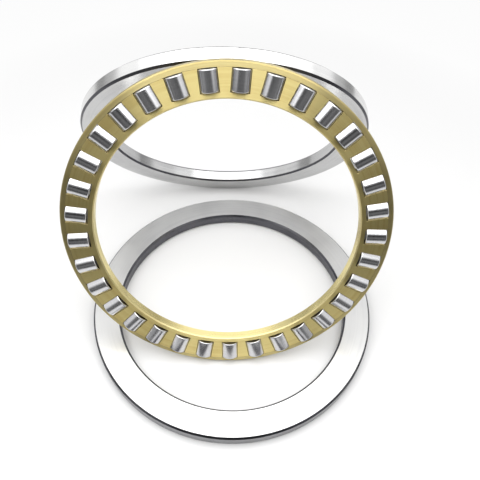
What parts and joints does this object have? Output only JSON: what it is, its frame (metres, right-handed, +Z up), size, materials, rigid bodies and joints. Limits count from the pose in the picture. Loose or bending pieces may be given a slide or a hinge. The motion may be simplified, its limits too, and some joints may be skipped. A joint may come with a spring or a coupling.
{
  "type": "cylindrical roller thrust bearing",
  "caption": "Separable cylindrical roller thrust bearing, taken apart: plain steel housing and shaft washers and a brass window cage with free-turning rollers, leaned together as shown.",
  "frame": {"origin": "centre of the housing washer's seat, on the surface that all three rings stand on", "axes": "+Z up along the housing washer's axis, +X to the right and +Y to the back as seen in the picture"},
  "size_m": [0.4099, 0.4595, 0.3695],
  "materials": {
    "washer_steel": "fine turned and ground",
    "cage_brass": "fine turned",
    "band_brass": "fine turned",
    "roller_steel": "ground and polished"
  },
  "bodies": {
    "cage_and_washers": {"housing_washer": "washer_steel", "shaft_washer": "washer_steel", "cage_body": "cage_brass", "cage_band": "band_brass"},
    "roller_01": {"roller_01": "roller_steel"},
    "roller_02": {"roller_02": "roller_steel"},
    "roller_03": {"roller_03": "roller_steel"},
    "roller_04": {"roller_04": "roller_steel"},
    "roller_05": {"roller_05": "roller_steel"},
    "roller_06": {"roller_06": "roller_steel"},
    "roller_07": {"roller_07": "roller_steel"},
    "roller_08": {"roller_08": "roller_steel"},
    "roller_09": {"roller_09": "roller_steel"},
    "roller_10": {"roller_10": "roller_steel"},
    "roller_11": {"roller_11": "roller_steel"},
    "roller_12": {"roller_12": "roller_steel"},
    "roller_13": {"roller_13": "roller_steel"},
    "roller_14": {"roller_14": "roller_steel"},
    "roller_15": {"roller_15": "roller_steel"},
    "roller_16": {"roller_16": "roller_steel"},
    "roller_17": {"roller_17": "roller_steel"},
    "roller_18": {"roller_18": "roller_steel"},
    "roller_19": {"roller_19": "roller_steel"},
    "roller_20": {"roller_20": "roller_steel"},
    "roller_21": {"roller_21": "roller_steel"},
    "roller_22": {"roller_22": "roller_steel"},
    "roller_23": {"roller_23": "roller_steel"},
    "roller_24": {"roller_24": "roller_steel"},
    "roller_25": {"roller_25": "roller_steel"},
    "roller_26": {"roller_26": "roller_steel"},
    "roller_27": {"roller_27": "roller_steel"},
    "roller_28": {"roller_28": "roller_steel"},
    "roller_29": {"roller_29": "roller_steel"},
    "roller_30": {"roller_30": "roller_steel"},
    "roller_31": {"roller_31": "roller_steel"},
    "roller_32": {"roller_32": "roller_steel"},
    "roller_33": {"roller_33": "roller_steel"}
  },
  "joints": [
    {"name": "roller_01_spin", "type": "hinge", "parent": "cage_and_washers", "child": "roller_01", "pos_m": [-0.0038, -0.07447, 0.02012], "axis": [0.0244, -0.4066, -0.9133], "continuous": true},
    {"name": "roller_02_spin", "type": "hinge", "parent": "cage_and_washers", "child": "roller_02", "pos_m": [0.03023, -0.0728, 0.02386], "axis": [0.2132, -0.3974, -0.8925], "continuous": true},
    {"name": "roller_03_spin", "type": "hinge", "parent": "cage_and_washers", "child": "roller_03", "pos_m": [0.06286, -0.06855, 0.03341], "axis": [0.3942, -0.3738, -0.8396], "continuous": true},
    {"name": "roller_04_spin", "type": "hinge", "parent": "cage_and_washers", "child": "roller_04", "pos_m": [0.09293, -0.06186, 0.04843], "axis": [0.561, -0.3367, -0.7562], "continuous": true},
    {"name": "roller_05_spin", "type": "hinge", "parent": "cage_and_washers", "child": "roller_05", "pos_m": [0.11934, -0.05298, 0.06838], "axis": [0.7076, -0.2874, -0.6456], "continuous": true},
    {"name": "roller_06_spin", "type": "hinge", "parent": "cage_and_washers", "child": "roller_06", "pos_m": [0.14114, -0.04223, 0.09253], "axis": [0.8285, -0.2278, -0.5116], "continuous": true},
    {"name": "roller_07_spin", "type": "hinge", "parent": "cage_and_washers", "child": "roller_07", "pos_m": [0.15754, -0.02999, 0.12001], "axis": [0.9195, -0.1599, -0.3591], "continuous": true},
    {"name": "roller_08_spin", "type": "hinge", "parent": "cage_and_washers", "child": "roller_08", "pos_m": [0.16795, -0.01671, 0.14984], "axis": [0.9773, -0.0862, -0.1936], "continuous": true},
    {"name": "roller_09_spin", "type": "hinge", "parent": "cage_and_washers", "child": "roller_09", "pos_m": [0.172, -0.00287, 0.18092], "axis": [0.9997, -0.0094, -0.0212], "continuous": true},
    {"name": "roller_10_spin", "type": "hinge", "parent": "cage_and_washers", "child": "roller_10", "pos_m": [0.16953, 0.01103, 0.21215], "axis": [0.986, 0.0677, 0.1521], "continuous": true},
    {"name": "roller_11_spin", "type": "hinge", "parent": "cage_and_washers", "child": "roller_11", "pos_m": [0.16065, 0.02449, 0.24238], "axis": [0.9367, 0.1424, 0.3198], "continuous": true},
    {"name": "roller_12_spin", "type": "hinge", "parent": "cage_and_washers", "child": "roller_12", "pos_m": [0.14565, 0.03702, 0.27053], "axis": [0.8536, 0.2119, 0.476], "continuous": true},
    {"name": "roller_13_spin", "type": "hinge", "parent": "cage_and_washers", "child": "roller_13", "pos_m": [0.1251, 0.04818, 0.29558], "axis": [0.7395, 0.2738, 0.6149], "continuous": true},
    {"name": "roller_14_spin", "type": "hinge", "parent": "cage_and_washers", "child": "roller_14", "pos_m": [0.09973, 0.05755, 0.31662], "axis": [0.5988, 0.3258, 0.7317], "continuous": true},
    {"name": "roller_15_spin", "type": "hinge", "parent": "cage_and_washers", "child": "roller_15", "pos_m": [0.07046, 0.06479, 0.3329], "axis": [0.4364, 0.366, 0.822], "continuous": true},
    {"name": "roller_16_spin", "type": "hinge", "parent": "cage_and_washers", "child": "roller_16", "pos_m": [0.03834, 0.06965, 0.34382], "axis": [0.2582, 0.3929, 0.8826], "continuous": true},
    {"name": "roller_17_spin", "type": "hinge", "parent": "cage_and_washers", "child": "roller_17", "pos_m": [0.00455, 0.07196, 0.34899], "axis": [0.0707, 0.4057, 0.9113], "continuous": true},
    {"name": "roller_18_spin", "type": "hinge", "parent": "cage_and_washers", "child": "roller_18", "pos_m": [-0.02971, 0.07162, 0.34823], "axis": [-0.1193, 0.4038, 0.907], "continuous": true},
    {"name": "roller_19_spin", "type": "hinge", "parent": "cage_and_washers", "child": "roller_19", "pos_m": [-0.06319, 0.06865, 0.34155], "axis": [-0.3051, 0.3873, 0.87], "continuous": true},
    {"name": "roller_20_spin", "type": "hinge", "parent": "cage_and_washers", "child": "roller_20", "pos_m": [-0.09469, 0.06315, 0.32921], "axis": [-0.4798, 0.3569, 0.8015], "continuous": true},
    {"name": "roller_21_spin", "type": "hinge", "parent": "cage_and_washers", "child": "roller_21", "pos_m": [-0.12305, 0.05533, 0.31165], "axis": [-0.6372, 0.3135, 0.7041], "continuous": true},
    {"name": "roller_22_spin", "type": "hinge", "parent": "cage_and_washers", "child": "roller_22", "pos_m": [-0.14727, 0.04547, 0.2895], "axis": [-0.7715, 0.2588, 0.5812], "continuous": true},
    {"name": "roller_23_spin", "type": "hinge", "parent": "cage_and_washers", "child": "roller_23", "pos_m": [-0.16646, 0.03392, 0.26356], "axis": [-0.878, 0.1947, 0.4373], "continuous": true},
    {"name": "roller_24_spin", "type": "hinge", "parent": "cage_and_washers", "child": "roller_24", "pos_m": [-0.17993, 0.02111, 0.23478], "axis": [-0.9527, 0.1236, 0.2776], "continuous": true},
    {"name": "roller_25_spin", "type": "hinge", "parent": "cage_and_washers", "child": "roller_25", "pos_m": [-0.18719, 0.00749, 0.20418], "axis": [-0.993, 0.048, 0.1079], "continuous": true},
    {"name": "roller_26_spin", "type": "hinge", "parent": "cage_and_washers", "child": "roller_26", "pos_m": [-0.18798, -0.00645, 0.17289], "axis": [-0.9974, -0.0293, -0.0657], "continuous": true},
    {"name": "roller_27_spin", "type": "hinge", "parent": "cage_and_washers", "child": "roller_27", "pos_m": [-0.18228, -0.02019, 0.14202], "axis": [-0.9658, -0.1055, -0.237], "continuous": true},
    {"name": "roller_28_spin", "type": "hinge", "parent": "cage_and_washers", "child": "roller_28", "pos_m": [-0.17028, -0.03325, 0.11269], "axis": [-0.8992, -0.178, -0.3997], "continuous": true},
    {"name": "roller_29_spin", "type": "hinge", "parent": "cage_and_washers", "child": "roller_29", "pos_m": [-0.15243, -0.04515, 0.08597], "axis": [-0.8002, -0.244, -0.5479], "continuous": true},
    {"name": "roller_30_spin", "type": "hinge", "parent": "cage_and_washers", "child": "roller_30", "pos_m": [-0.12936, -0.05545, 0.06282], "axis": [-0.6722, -0.3011, -0.6764], "continuous": true},
    {"name": "roller_31_spin", "type": "hinge", "parent": "cage_and_washers", "child": "roller_31", "pos_m": [-0.10192, -0.0638, 0.04408], "axis": [-0.5199, -0.3474, -0.7804], "continuous": true},
    {"name": "roller_32_spin", "type": "hinge", "parent": "cage_and_washers", "child": "roller_32", "pos_m": [-0.07108, -0.06988, 0.03042], "axis": [-0.3489, -0.3812, -0.8561], "continuous": true},
    {"name": "roller_33_spin", "type": "hinge", "parent": "cage_and_washers", "child": "roller_33", "pos_m": [-0.03798, -0.07348, 0.02233], "axis": [-0.1652, -0.4011, -0.901], "continuous": true}
  ]
}
